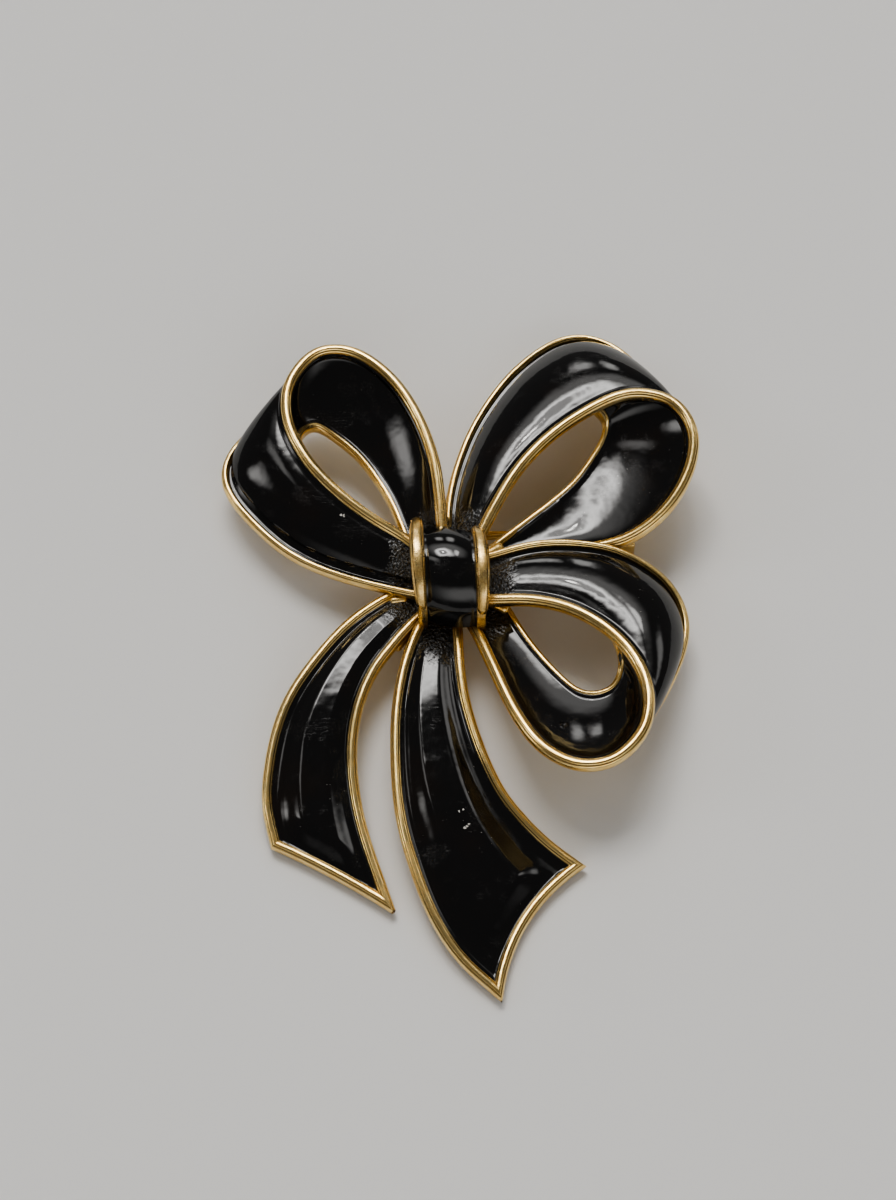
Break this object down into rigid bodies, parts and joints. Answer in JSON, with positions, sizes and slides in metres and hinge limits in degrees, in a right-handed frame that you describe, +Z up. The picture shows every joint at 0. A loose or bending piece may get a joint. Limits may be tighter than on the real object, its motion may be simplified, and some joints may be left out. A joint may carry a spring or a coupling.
{
  "type": "bow brooch",
  "caption": "Ribbon bow brooch: gold-coloured cast frame with rims along every ribbon edge, filled with glossy black enamel, with a bar pin across the back.",
  "frame": {"origin": "middle of the bounding box, on the surface the brooch lies on", "axes": "+Z up, out of the front of the brooch; +Y towards the loops' top, away from the tails; +X to the right of one who looks at the front"},
  "size_m": [0.0417, 0.0623, 0.0096],
  "materials": {
    "gilt": "satin gold plating with fine lengthwise brush lines, browner in the recesses",
    "enamel": "glossy black enamel",
    "pin_metal": "polished gold plating"
  },
  "bodies": {
    "root": {"bow_frame": "gilt", "knot_enamel": "enamel", "upper_left_outer_enamel": "enamel", "upper_left_inner_enamel": "enamel", "upper_right_outer_enamel": "enamel", "upper_right_inner_enamel": "enamel", "lower_right_outer_enamel": "enamel", "lower_right_inner_enamel": "enamel", "left_tail_enamel": "enamel", "right_tail_enamel": "enamel", "pin": "pin_metal"}
  },
  "joints": []
}
